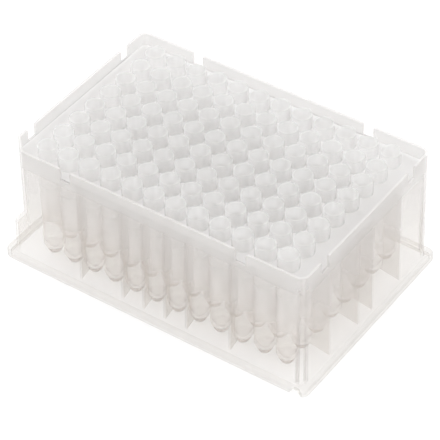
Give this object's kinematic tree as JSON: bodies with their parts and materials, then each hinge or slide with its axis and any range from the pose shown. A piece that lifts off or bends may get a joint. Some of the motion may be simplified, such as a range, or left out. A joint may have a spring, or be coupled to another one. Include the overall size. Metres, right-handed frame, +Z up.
{
  "type": "deep-well plate",
  "caption": "Translucent deep-well plate: round wells in a regular grid inside a walled skirt that stands on a flange, with one cut corner and notches in the rim.",
  "frame": {"origin": "middle of the footprint, on the surface that the plate stands on", "axes": "+X along the long side, +Y along the short side, +Z up through the well mouths; the cut corner is at -X -Y and the notch in the lip at +X -Y"},
  "size_m": [0.1278, 0.0854, 0.05],
  "materials": {
    "polypropylene": "natural translucent polypropylene, as moulded, soft sheen"
  },
  "bodies": {
    "root": {"plate": "polypropylene"}
  },
  "joints": []
}
